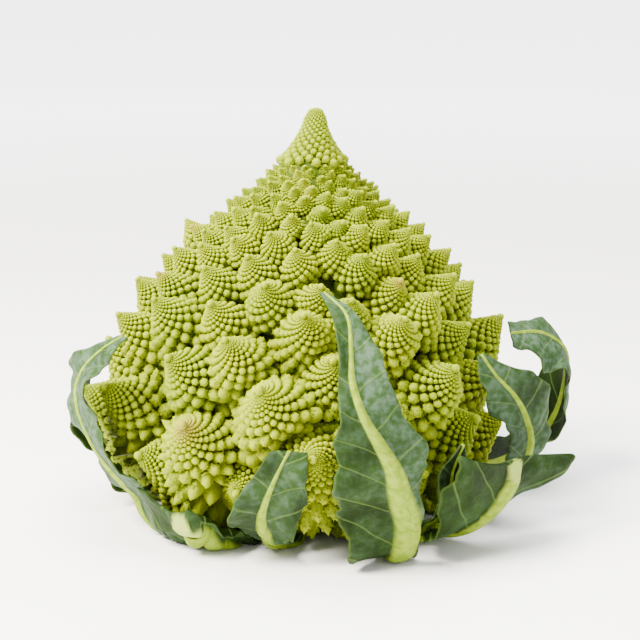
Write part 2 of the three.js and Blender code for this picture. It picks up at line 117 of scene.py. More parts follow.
curdShape = {
    "height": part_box("curd")[1][2] / millimetre,  # cut face to tip
    "radius": 80,  # to the tips of the widest florets
    "tipLean": 3,  # towards +X
    "bodyLean": -3.5,  # up to lowLean of the height
    "lowLean": 0.3,
    "outline": [  # through the floret tips from the top down, shares of radius and height
        (0, 1), (0.03, 0.993), (0.048, 0.975), (0.06, 0.95), (0.085, 0.922), (0.12, 0.893),
        (0.213, 0.847), (0.363, 0.784), (0.581, 0.697), (0.788, 0.573), (0.888, 0.513),
        (0.988, 0.4), (1, 0.267), (0.955, 0.19), (0.86, 0.135)],
    "spiralStart": math.radians(9),
    "firstReach": 6.017,  # along the outline from the tip to floret 0 of the even spiral
    "growth": [  # by reach: each floret is this share further out; the solids have 0.0145 all over
        (0, 0.0100), (12, 0.0085), (20, 0.0064), (36, 0.0082), (60, 0.0092), (96, 0.0105),
        (110, 0.0145), (200, 0.0145)],
    "tipReach": 0.9,  # of the first bead
    "florets": {"small": 22, "middle": 52, "large": 88, "spiked": 118},  # smallest reach of each
    "templates": 4,  # of each kind of floret
    "beads": {  # first and last reach, sizes up to specks and grains, size from cones, spiked
        "spiked": (0.18, 2.6, 0.05, 0.12, 0.22, True),
        "large": (0.2, 2.5, 0.05, 0.14, 0.26, False),
        "middle": (0.26, 2.1, 0.07, 0.2, math.inf, False),
        "small": (0.4, 1.9, 0.22, 0.44, math.inf, False)},
    "pieceEnds": {  # reach at which each piece ends
        "curdTip": 34, "curdUpper": 54, "curdMiddle": 80, "curdRing1": 104, "curdRing2": 122,
        "curdRing3": 138, "curdRing4": 156, "curdRing5": 999},
    "axisRise": [  # by reach, degrees
        (0, 66), (12, 40), (30, 44), (60, 48), (95, 45), (122, 38), (142, 26), (160, 6),
        (178, -18)],
    "axisScatter": 0.08,
    "heartDepth": [(0, 0.2), (16, 0.3), (24, 0.6), (36, 1.0), (60, 1.15)],  # of a floret's room
    "heartFoot": [(36, 31), (20, 29), (0.5, 29)],  # radius and height
    "apexDrop": 1.2,
    "apexSize": 1.9,
    "grainedFrom": 2.0,  # smallest tip bead with beads of its own
    "neighbours": (3, 5, 8, 13, 21, 34),  # steps along the spiral to the florets beside one
    "rimShare": [(24, 0.66), (40, 0.62), (70, 0.56)],  # rim radius of a floret, of its room
    "lowest": 2.0,  # the head rests on its leaves and stalk
    "chafedShare": 0.035,
    "scatter": 0.07,  # of a floret's place, in shares of its room
    "floretOutline": [  # radius and depth behind the tip, in rim radii
        (0, 0), (0.16, 0.22), (0.36, 0.52), (0.6, 0.86), (0.83, 1.22), (0.97, 1.6), (1, 1.95),
        (0.92, 2.35)],
    "budGrowth": [(0.3, 0.0112), (0.9, 0.0125), (1.4, 0.0150)],  # as growth, in a floret
    "budTilt": [(0, 64), (0.4, 44), (1.2, 32), (1.9, 16), (2.6, -4)],  # of its axis, degrees
}


def outlineTables(points):
    points = np.array(points, dtype=float)
    reach = np.concatenate([[0], np.cumsum(np.linalg.norm(np.diff(points, axis=0), axis=1))])
    return reach, points[:, 0], points[:, 1]


outlineShares = np.array(curdShape["outline"])
curdReach, curdRadius, curdHeight = outlineTables(
    outlineShares * [curdShape["radius"], curdShape["height"]])
floretReach, floretRadius, floretDepth = outlineTables(curdShape["floretOutline"])


def spiralRoom(radius, growth, reach):
    # distance between neighbours on the golden-angle spiral
    return np.sqrt(2 * math.pi * radius * growth * reach * 2 / math.sqrt(3))


def curdLean(height):
    low = curdShape["lowLean"]
    share = np.clip((height / curdShape["height"] - low) / (1 - low), 0, 1)
    return curdShape["bodyLean"] + (curdShape["tipLean"] - curdShape["bodyLean"]) * share


def spiralReaches():
    # from the widest florets, whose places the even spiral gives, inwards to the tip
    places = {}
    lastGrowth = curdShape["growth"][-1][1]
    n = int(math.log(curdReach[-1] / curdShape["firstReach"]) / lastGrowth)
    reach = curdShape["firstReach"] * math.exp(lastGrowth * n)
    table = np.array(curdShape["growth"]).T
    while reach > curdShape["tipReach"]:
        growth = float(np.interp(reach, *table))
        places[n] = (reach, growth)
        reach *= math.exp(-growth)
        n -= 1
    return places


def curdSite(n, reach, growth):
    turn = curdShape["spiralStart"] - n * goldenAngle
    radius = np.interp(reach, curdReach, curdRadius)
    height = np.interp(reach, curdReach, curdHeight)
    rise = np.radians(np.interp(reach, *np.array(curdShape["axisRise"]).T))
    out = np.array([math.cos(turn), math.sin(turn), 0.0])
    return {
        "n": n, "reach": reach, "room": spiralRoom(radius, growth, reach),
        "at": out * radius + np.array([curdLean(height), 0, height]),
        "axis": out * math.cos(rise) + np.array([0, 0, math.sin(rise)]),
    }


sites = {n: curdSite(n, *place) for n, place in spiralReaches().items()}


def sideAxes(axis):
    helper = np.where(np.abs(axis[..., 2:3]) < 0.9, [0.0, 0.0, 1.0], [1.0, 0.0, 0.0])
    side = unit(np.cross(helper, axis))
    return side, np.cross(axis, side)


def beadDomes(centres, axes, sizes, profile, sides, spins):
    # one dome for each bead: profile rows are (radius share, height share) from the foot to the tip
    side, up = sideAxes(axes)
    rows = []
    for radius, height in profile[:-1]:
        angles = spins[:, None] + 2 * math.pi * np.arange(sides)[None, :] / sides
        cosine, sine = np.cos(angles)[..., None], np.sin(angles)[..., None]
        ring = side[:, None, :] * cosine + up[:, None, :] * sine
        reachOut = ring * radius + axes[:, None, :] * height
        rows.append(centres[:, None, :] + sizes[:, None, None] * reachOut)
    rows.append((centres + axes * (sizes * profile[-1][1])[:, None])[:, None, :])
    points = np.concatenate(rows, axis=1)
    faces = []
    for level in range(len(profile) - 2):
        for k in range(sides):
            a, b = level * sides + k, level * sides + (k + 1) % sides
            faces += [(a, b, b + sides), (a, b + sides, a + sides)]
    tip = (len(profile) - 1) * sides
    base = (len(profile) - 2) * sides
    faces += [(base + k, base + (k + 1) % sides, tip) for k in range(sides)]
    count = points.shape[1]
    allFaces = (np.arange(len(centres)) * count)[:, None, None] + np.array(faces)[None, :, :]
    heights = np.array([h for _, h in profile])
    lift = (heights - heights[0]) / (heights[-1] - heights[0])
    lift = np.concatenate([np.repeat(lift[:-1], sides), lift[-1:]])
    lifts, middles = np.tile(lift, len(centres)), np.repeat(centres, count, axis=0)
    return points.reshape(-1, 3), allFaces.reshape(-1, 3), lifts, middles


def joined(parts):
    # parts are (points, faces, any values of the points)
    base = np.cumsum([0] + [len(part[0]) for part in parts])
    faces = np.concatenate([part[1] + start for part, start in zip(parts, base)])
    values = [np.concatenate([part[k] for part in parts]) for k in range(2, len(parts[0]))]
    return (np.concatenate([part[0] for part in parts]), faces, *values)


beadProfiles = {
    "speck": [(0.44, -0.15), (0, 0.5)],
    "grain": [(0.45, -0.2), (0.4, 0.24), (0, 0.5)],
    "bead": [(0.38, -0.25), (0.45, 0.08), (0.32, 0.4), (0, 0.54)],
    "cone": [(0.4, -0.3), (0.47, 0.06), (0.31, 0.44), (0, 0.68)],
    "spike": [(0.46, -0.3), (0.46, 0.16), (0.25, 0.64), (0, 1.05)],
}


def subBeads(centres, axes, sizes, profile, count):
    # small beads wound round each large bead, which grows as a little floret of its own
    side, up = sideAxes(axes)
    spin = rng.uniform(0, 2 * math.pi, len(centres))
    heights, radii = [h for _, h in profile][::-1], [r for r, _ in profile][::-1]
    parts = []
    for j in range(count):
        share = 0.2 * (0.94 / 0.2) ** (j / (count - 1))  # along the profile from its tip
        angle = spin + j * goldenAngle
        out = side * np.cos(angle)[:, None] + up * np.sin(angle)[:, None]
        radius = np.interp(share, [0, 0.33, 0.72, 1], radii)
        height = np.interp(share, [0, 0.33, 0.72, 1], heights)
        at = centres + sizes[:, None] * (out * (radius * 0.93) + axes * height)
        grow = unit(out * (0.3 + 0.7 * share) + axes * (1 - 0.6 * share))
        parts.append((at, grow, sizes * (0.16 + 0.2 * share)))
    at, grow, size = (np.concatenate(rows) for rows in zip(*parts))
    return beadDomes(at, grow, size, beadProfiles["speck"], 4, np.zeros(len(at)))


def floretTemplate(firstReach, lastReach, speckTo, grainTo, coneFrom, spiked):
    # a floret of rim radius 1 with its tip at the origin, growing along +Z
    budGrowth = np.array(curdShape["budGrowth"]).T
    reach = [firstReach]
    while reach[-1] < lastReach:
        reach.append(reach[-1] * math.exp(float(np.interp(reach[-1], *budGrowth))))
    reach = np.array(reach)
    growth = np.interp(reach, *budGrowth)
    count = len(reach)
    radius = np.interp(reach, floretReach, floretRadius)
    depth = np.interp(reach, floretReach, floretDepth)
    angle = rng.uniform(0, 2 * math.pi) + np.arange(count) * goldenAngle
    size = spiralRoom(radius, growth, reach) * rng.uniform(0.92, 1.08, count)
    out = np.stack([np.cos(angle), np.sin(angle), np.zeros(count)], axis=1)
    tilt = np.radians(np.interp(reach, *np.array(curdShape["budTilt"]).T) + rng.normal(0, 4, count))
    ahead = np.array([0, 0, 1.0])
    axes = out * np.cos(tilt)[:, None] + ahead * np.sin(tilt)[:, None]
    inset = 0.3 * size
    centres = out * (radius - inset)[:, None] - ahead * (depth + 0.3 * inset)[:, None]
    spins = rng.uniform(0, 2 * math.pi, count)
    parts = [floretCore()]
    apex = -0.72 * firstReach * ahead[None, :]
    apexSize = np.array([1.05 * firstReach])
    parts.append(beadDomes(apex, ahead[None, :], apexSize, beadProfiles["bead"], 8, np.zeros(1)))
    cone = size > coneFrom
    speck = (size < speckTo) & ~cone
    grain = (size < grainTo) & ~speck & ~cone
    bead = ~(cone | speck | grain)
    long = cone & (size > 0.3) & spiked
    groups = (  # sides of each bead and how many it carries
        (speck, "speck", 5, 0), (grain, "grain", 5, 0), (bead, "bead", 6, 0),
        (cone & ~long, "cone", 6, 12), (long, "spike", 6, 18))
    for chosen, kind, sides, carried in groups:
        if not chosen.any():
            continue
        beads = centres[chosen], axes[chosen], size[chosen], beadProfiles[kind]
        parts.append(beadDomes(*beads, sides, spins[chosen]))
        if carried:
            parts.append(subBeads(*beads, carried))
    return joined(parts)


def floretCore(sides=14):
    # the flesh that carries the beads
    rows = [(0.93 * r, d + 0.12) for r, d in curdShape["floretOutline"]][:-1]
    rows += [(0.8, 2.5), (0.5, 3.1)]
    points = [[0, 0, -0.05]]
    for radius, depth in rows[1:]:
        points += [[radius * 0.93 * math.cos(a), radius * 0.93 * math.sin(a), -depth]
                   for a in 2 * math.pi * np.arange(sides) / sides]
    faces = [(0, 1 + k, 1 + (k + 1) % sides) for k in range(sides)]
    for level in range(len(rows) - 2):
        for k in range(sides):
            a, b = 1 + level * sides + k, 1 + level * sides + (k + 1) % sides
            faces += [(a, a + sides, b + sides), (a, b + sides, b)]
    points = np.array(points, dtype=float)
    return points, np.array(faces), np.zeros(len(points)), points


def placeFloret(template, site):
    points, faces, lift, centres = template
    rimShare = np.interp(site["reach"], *np.array(curdShape["rimShare"]).T)
    rim = rimShare * site["room"] * rng.uniform(0.95, 1.07)
    axis = unit(site["axis"] + rng.normal(0, curdShape["axisScatter"], 3))
    side, up = sideAxes(axis)
    shift = rng.normal(0, curdShape["scatter"] * site["room"], 3)
    at = site["at"] + side * shift[0] + up * shift[1] + axis * shift[2]
    spin = rng.uniform(0, 2 * math.pi)
    first = side * math.cos(spin) + up * math.sin(spin)
    second = (up * math.cos(spin) - side * math.sin(spin)) * (1 if rng.random() < 0.5 else -1)
    mirrored = np.dot(np.cross(first, second), axis) < 0
    placed, middles = (
        at + rim * (p[:, :1] * first + p[:, 1:2] * second + p[:, 2:] * axis)
        for p in (points, centres))
    placed = placed + keepInCell(middles, site) - middles
    # painted shade: the deeper a point lies behind its floret's tip, the darker
    shadeDepth = np.clip((-points[:, 2] - 0.9) / 1.5, 0, 1)
    # a few florets are chafed at their tips
    nearTip = np.clip(1.6 - np.linalg.norm(points, axis=1) / 0.35, 0, 1)
    chafed = nearTip * (rng.random() < curdShape["chafedShare"])
    return placed, faces[:, ::-1] if mirrored else faces, lift, shadeDepth, chafed


def toAxis(points, site):
    along = np.minimum(0, (points - site["at"]) @ site["axis"])
    foot = site["at"] + along[:, None] * site["axis"]
    return foot, np.linalg.norm(points - foot, axis=1)


def keepInCell(points, site):
    # florets press against each other: what would cross a neighbour is drawn towards the axis
    steps = [way * step for way in (1, -1) for step in curdShape["neighbours"]]
    near = [sites[site["n"] + step] for step in steps if site["n"] + step in sites]
    foot, own = toAxis(points, site)
    crowd = np.zeros(len(points))
    for other in near:
        away = toAxis(points, other)[1] / other["room"]
        crowd = np.maximum(crowd, own / site["room"] / np.maximum(away, 1e-6))
    shrink = np.maximum(crowd, 1) ** -0.6
    return foot + (points - foot) * shrink[:, None]


def curdHeart(sides=72):
    # the flesh that the florets branch from, seen only in the depths and painted dark there as
    # painted shade
    rows = []
    for reach in np.linspace(1.5, curdReach[-1], 60):
        ahead = np.array([np.interp(reach + d, curdReach, curdRadius) for d in (-3, 3)])
        rise = np.array([np.interp(reach + d, curdReach, curdHeight) for d in (-3, 3)])
        along = unit(np.array([ahead[1] - ahead[0], rise[1] - rise[0]]))
        growth = np.interp(reach, *np.array(curdShape["growth"]).T)
        radius = np.interp(reach, curdReach, curdRadius)
        height = np.interp(reach, curdReach, curdHeight)
        heartShare = np.interp(reach, *np.array(curdShape["heartDepth"]).T)
        depth = spiralRoom(radius, growth, reach) * heartShare
        rows.append((max(radius + along[1] * depth, 0.2), height - along[0] * depth))
    rows += curdShape["heartFoot"]
    points = [[math.cos(a) * r + curdLean(z), math.sin(a) * r, z]
              for r, z in rows for a in 2 * math.pi * np.arange(sides) / sides]
    faces = []
    for level in range(len(rows) - 1):
        for k in range(sides):
            a, b = level * sides + k, level * sides + (k + 1) % sides
            faces += [(a, a + sides, b + sides), (a, b + sides, b)]
    none = np.zeros(len(points))
    return np.array(points, dtype=float), np.array(faces), none, np.ones(len(points)), none


def curdTip():
    # the finely grained tip: one bead for each place of the spiral
    lastReach = curdShape["florets"]["small"] + 1.5
    small = [site for site in sites.values() if site["reach"] < lastReach]
    at = np.array([s["at"] for s in small])
    axes = unit(np.array([s["axis"] for s in small]) + rng.normal(0, 0.06, (len(small), 3)))
    size = np.array([s["room"] for s in small]) * rng.uniform(0.95, 1.1, len(small))
    spins = rng.uniform(0, 2 * math.pi, len(small))
    at = at - axes * 0.35 * size[:, None]
    beads = beadDomes(at, axes, size, beadProfiles["bead"], 9, spins)
    large = size > curdShape["grainedFrom"]
    grains = subBeads(at[large], axes[large], size[large], beadProfiles["bead"], 22)
    top = np.array([[curdShape["tipLean"], 0, curdShape["height"] - curdShape["apexDrop"]]])
    apexSize = np.array([curdShape["apexSize"]])
    apex = beadDomes(top, np.array([[0, 0, 1.0]]), apexSize, beadProfiles["bead"], 9, np.zeros(1))
    points, faces, lift, _ = joined([beads, grains, apex])
    none = np.zeros(len(points))
    return points, faces, lift, none, none


curdFinish = {
    "colors": {
        # foot and tip: painted shade at a bud's foot, in the gaps between buds, and a painted
        # highlight at its tip
        "foot": "#384a00", "tip": "#8e9c00",  # of a bud
        # depth: painted shade deep in the curd
        "blotch": "#748a00", "tone": "#9ca400", "grain": "#4c5c00", "depth": "#2c3c00",
        "chafed": "#86782a"},
    "grainScale": 1900.0,  # grains of 0.5 mm
    "shader": {
        "Roughness": 0.5, "Specular IOR Level": 0.07, "Subsurface Weight": 0.2,
        "Subsurface Radius": (0.9, 1.0, 0.25), "Subsurface Scale": 0.0013},
}


def curdMaterial():
    # fresh curd: thousands of waxy, slightly see-through buds, each coloured from painted shade at
    # its foot, in the gaps between buds, to a painted highlight at its tip, and painted dark with
    # shade deep in the curd
    material, tree, shader = newMaterial("freshCurdFlesh")
    color = {key: hexColor(code) for key, code in curdFinish["colors"].items()}
    fact = {key: addNode(tree, "Attribute", out="Fac", attribute_name=key)
            for key in ("paintedBudLight", "floretTone", "depthShade", "chafed")}
    place = addNode(tree, "TexCoord", out="Object")
    blotch = addNode(tree, "TexNoise", {"Vector": place, "Scale": 60.0, "Detail": 3.0}, "Fac")
    grain = addNode(
        tree, "TexVoronoi", {"Vector": place, "Scale": curdFinish["grainScale"]}, "Distance")
    soft = {"interpolation_type": "SMOOTHSTEP"}
    blotchShare = addNode(tree, "MapRange", {0: blotch, 1: 0.35, 2: 0.7, 3: 0.0, 4: 0.4}, **soft)
    toneShare = addNode(
        tree, "MapRange", {0: fact["floretTone"], 1: 0.0, 2: 1.0, 3: 0.0, 4: 0.3}, **soft)
    grainShare = addNode(tree, "MapRange", {0: grain, 1: 0.0, 2: 0.9, 3: 0.0, 4: 0.2}, **soft)
    # painted shade darkens the curd's depths and its heart
    depthShadeMix = addNode(tree, "Math", {0: fact["depthShade"], 1: 0.6}, operation="MULTIPLY")
    chafedShare = addNode(tree, "Math", {0: fact["chafed"], 1: 0.75}, operation="MULTIPLY")
    # each bud runs from painted shade at its foot to a painted highlight at its tip
    base = color["foot"]
    for name, share in (
            ("tip", fact["paintedBudLight"]), ("blotch", blotchShare), ("tone", toneShare),
            ("grain", grainShare), ("depth", depthShadeMix), ("chafed", chafedShare)):
        base = addNode(tree, "Mix", {0: share, 6: base, 7: color[name]}, 2, data_type="RGBA")
    bump = addNode(
        tree, "Bump", {"Height": grain, "Strength": 0.5, "Distance": 0.0004}, invert=True)
    tree.links.new(base, shader.inputs["Base Color"])
    tree.links.new(bump, shader.inputs["Normal"])
    finishShader(shader, curdFinish["shader"])
    return material


def buildCurd():
    material = curdMaterial()
    kinds = {kind: [floretTemplate(*limits) for _ in range(curdShape["templates"])]
             for kind, limits in curdShape["beads"].items()}
    print("stage floret templates done")
    pieceEnds = curdShape["pieceEnds"]
    parts = {name: [] for name in pieceEnds}
    parts["curdTip"] += [(*curdTip(), 0.4), (*curdHeart(), 0.0)]
    limits = sorted(curdShape["florets"].items(), key=lambda item: item[1])
    for n in sorted(sites):
        site = sites[n]
        if site["reach"] < limits[0][1]:
            continue
        kind = [name for name, reach in limits if site["reach"] >= reach][-1]
        name = next(name for name, end in pieceEnds.items() if site["reach"] < end)
        template = kinds[kind][rng.integers(len(kinds[kind]))]
        parts[name].append((*placeFloret(template, site), rng.random()))
    cloud = []
    for name, made in parts.items():
        points, faces, lift, depth, chafed = joined([part[:5] for part in made])
        faces = faces[points[faces][..., 2].max(axis=1) > curdShape["lowest"]]
        points[:, 2] = np.maximum(points[:, 2], curdShape["lowest"])
        facts = {
            "paintedBudLight": lift, "depthShade": depth, "chafed": chafed,
            "floretTone": np.concatenate([np.full(len(part[0]), part[5]) for part in made])}
        piece = meshPiece(name, points, faces, material, facts)
        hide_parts("curd")
        cloud.append(points)
    print("stage curd done")
    return np.concatenate(cloud)


curdPoints = buildCurd()


# rows: distance from the stalk's axis, azimuth, height, blade to the left and to the right;
# wave and curl of the edges, rib's half width at both ends, bloom, lift of both sides, and
# flap and twist with the share of the length where they start
leafShapes = {
    "leaf_front": {
        "rows": [
            (20, -62, 4.6, 4.5, 4.5), (42, -61, 4.6, 5, 5), (65, -63, 3.4, 10, 6),
            (74, -64, 5, 19, 5.5), (80, -65, 18, 24, 5.5), (85, -69, 31, 22, 6.5),
            (88, -71, 39, 20, 13), (89, -75, 50, 14, 15), (89, -78, 58, 8, 14),
            (86, -80, 69, 4, 12), (83, -80, 79, 4, 9), (77, -80, 89, 6, 3),
            (68, -85, 95, 1, 1)],
        "wave": 2, "curl": 1.5, "rib": (14, 0.3), "bloom": (0.15, 0.8)},
    "leaf_front_left": {
        "rows": [
            (20, -98, 11, 3.5, 3.5), (42, -99, 9, 5, 5), (62, -103, 10, 8, 8),
            (72, -102, 19, 12, 13), (78, -99, 30, 9, 13), (83, -94, 45, 6, 6)],
        "wave": 2, "curl": 3, "rib": (9, 0.4), "bloom": (0.3, 0.3)},
    "leaf_left": {
        "rows": [
            (20, -143, 4.8, 4, 4), (42, -144, 5, 6, 6), (65, -147, 11, 12, 9),
            (79, -152, 25, 16, 18), (86, -157, 40, 15, 17), (88, -159, 51, 14, 14),
            (87, -155, 61, 12, 12), (84, -148, 70, 9, 9), (80, -142, 76, 2, 2)],
        "wave": 2, "curl": 1, "rib": (4, 0.2), "bloom": (1, 0.9)},
    "leaf_left_trimmed": {
        "rows": [
            (20, -117, 4.6, 4, 4.5), (40, -119, 4.6, 7, 7), (58, -121, 7, 13, 9),
            (68, -123, 13, 18, 11), (77, -125, 20, 21, 11)],
        "wave": 1.5, "curl": 0, "lift": (13, -4), "rib": (2.6, 4.4), "cut": 8, "bloom": (0, 0)},
    "leaf_right_trimmed": {
        "rows": [
            (20, -32, 4.6, 4, 4), (46, -36, 4.6, 7, 6), (66, -42, 5, 12, 6),
            (76, -41, 9, 21, 8), (84, -39, 17, 27, 13), (88, -37, 26, 30, 20),
            (89, -36, 33, 28, 20)],
        "wave": 1.5, "curl": 1, "flap": (12, 0.65), "lift": (8, 0), "rib": (3.2, 4.6), "cut": 7,
        "bloom": (0, 0.25)},
    "leaf_right": {
        "rows": [
            (20, -7, 4.8, 3.5, 3.5), (46, -9, 5, 6, 6), (68, -11, 8, 11, 8),
            (79, -14, 19, 12, 5), (84, -17, 30, 11, 6), (84, -21, 41, 11, 13),
            (81, -25, 51, 11, 12), (76, -29, 59, 8, 8), (72, -32, 67, 1, 1)],
        "wave": 2, "curl": 0.5, "twist": (38, 0.3), "rib": (7, 0.3), "bloom": (0.6, 0.5)},
    "leaf_right_folded": {
        "rows": [
            (20, 22, 4.6, 5, 5), (50, 20, 4.6, 7, 7), (76, 19, 7, 12, 12), (94, 18, 15, 13, 16),
            (103, 18, 27, 13, 20), (107, 19, 40, 14, 20), (105, 18, 52, 15, 15),
            (94, 16, 60, 14, 9), (79, 12, 62, 6, 6)],
        "wave": 2.5, "curl": -3, "twist": (35, 0.55), "rib": (7, 0.4), "bloom": (0.9, 0.9)},
    "leaf_young": {
        "rows": [
            (22, -48, 10, 2, 2), (46, -48, 8, 2.5, 2.5), (68, -50, 11, 4, 4),
            (77, -51, 21, 6, 6), (79, -51, 32, 6, 6), (81, -49, 41, 1, 1)],
        "wave": 1, "curl": 1, "rib": (4, 0.3)},
    "leaf_back_right": {
        "rows": [
            (20, 53, 4.6, 5, 5), (46, 53, 4.6, 7, 7), (68, 54, 8, 16, 16), (82, 55, 24, 23, 23),
            (87, 56, 46, 25, 25), (86, 56, 66, 15, 17), (80, 56, 82, 8, 9), (73, 56, 93, 2, 2)],
        "wave": 3, "curl": 2},
    "leaf_back": {
        "rows": [
            (20, 88, 4.8, 4, 4), (46, 88, 5, 6, 6), (68, 89, 9, 13, 13), (81, 90, 28, 18, 18),
            (87, 90, 44, 18, 18), (88, 90, 58, 13, 13)],
        "wave": 2.5, "curl": 3},
    "leaf_back_left": {
        "rows": [
            (20, 124, 4.6, 5, 5), (46, 124, 4.6, 7, 7), (68, 124, 8, 16, 16),
            (82, 124, 24, 23, 23), (87, 124, 46, 25, 25), (86, 124, 66, 17, 15),
            (80, 124, 80, 9, 8), (74, 124, 90, 2, 2)],
        "wave": 3, "curl": 2},
    "leaf_side": {
        "rows": [
            (20, 172, 4.6, 5, 5), (46, 172, 4.6, 6, 6), (68, 172, 9, 14, 14),
            (81, 172, 24, 19, 17), (86, 172, 40, 17, 15), (84, 172, 53, 2, 2)],
        "wave": 2.5, "curl": 2},
}

bladeShape = {
    "thickness": 1.1,
    "waveLength": 27,  # of the large ruffles along the edge
    "veinSpacing": 14,  # between side veins where they leave the rib
    "veinHeight": 0.45,
    "veinWidth": 0.9,
    "veinSlant": 0.75,  # how far side veins swing towards the tip, of their length
    "veinStagger": 3.5,  # of the right side's veins
    "puff": 0.7,  # how far the blade swells between veins
    "lobes": [(0.05, 17), (0.02, 6.1)],  # share of the width and length of the edge's lobes
    "fineWave": (0.5, 8.5),  # height and length of the small ruffles
    "petioleThickness": 1.4,  # more than the blade
    "clearance": 1.2,  # to the curd
    "ribTaper": 2.2,
    "stations": 72,
    "columns": 29,
    "phaseStep": 1.7,  # between one leaf's ruffles and the next one's
}


def smoothCurve(knots, at):
    # centripetal Catmull-Rom through the knots, at runs from 0 to 1
    knots = np.asarray(knots, dtype=float)
    ends = np.vstack([2 * knots[0] - knots[1], knots, 2 * knots[-1] - knots[-2]])
    place = np.clip(at, 0, 1) * (len(knots) - 1)
    first = np.minimum(place.astype(int), len(knots) - 2)
    w = (place - first)[:, None]
    p0, p1, p2, p3 = (ends[first + k] for k in range(4))
    d0, d1, d2 = (np.maximum(np.linalg.norm(b - a, axis=1), 1e-4)[:, None] ** 0.5
                  for a, b in ((p0, p1), (p1, p2), (p2, p3)))
    t1 = ((p1 - p0) / d0 - (p2 - p0) / (d0 + d1) + (p2 - p1) / d1) * d1
    t2 = ((p2 - p1) / d1 - (p3 - p1) / (d1 + d2) + (p3 - p2) / d2) * d1
    return (p1 + t1 * w + (3 * (p2 - p1) - 2 * t1 - t2) * w**2
            + (2 * (p1 - p2) + t1 + t2) * w**3)


def reachMap(points):
    # how far out the curd stands, by azimuth and height, and how low it hangs, by azimuth and
    # radius
    radius = np.hypot(points[:, 0], points[:, 1])
    degrees = np.degrees(np.arctan2(points[:, 1], points[:, 0]))
    azimuth = ((degrees + 360) % 360 / 3).astype(int)
    beside = np.zeros((120, 80))
    np.maximum.at(beside, (azimuth, np.clip(points[:, 2] / 2, 0, 79).astype(int)), radius)
    below = np.full((120, 60), 90.0)
    np.minimum.at(below, (azimuth, np.clip(radius / 2, 0, 59).astype(int)), points[:, 2])
    around = [(i, j) for i in (-1, 0, 1) for j in (-2, -1, 0, 1, 2)]
    nextTo = [(i, j) for i in (-1, 0, 1) for j in (-1, 0, 1)]
    widest = np.max([np.roll(beside, shift, (0, 1)) for shift in around], axis=0)
    lowest = np.min([np.roll(below, shift, (0, 1)) for shift in around], axis=0)
    for _ in range(2):
        widest = np.mean([np.roll(widest, shift, (0, 1)) for shift in nextTo], axis=0)
    return widest, lowest


def readMap(grid, azimuth, other):
    row = ((np.degrees(azimuth) + 720) % 360) / 3 - 0.5
    column = np.clip(other / 2 - 0.5, 0, grid.shape[1] - 1.001)
    i, j = np.floor(row).astype(int), np.floor(column).astype(int)
    u, v = row - i, column - j
    a, b = grid[i % 120, j], grid[(i + 1) % 120, j]
    c, d = grid[i % 120, j + 1], grid[(i + 1) % 120, j + 1]
    return (a * (1 - u) + b * u) * (1 - v) + (c * (1 - u) + d * u) * v


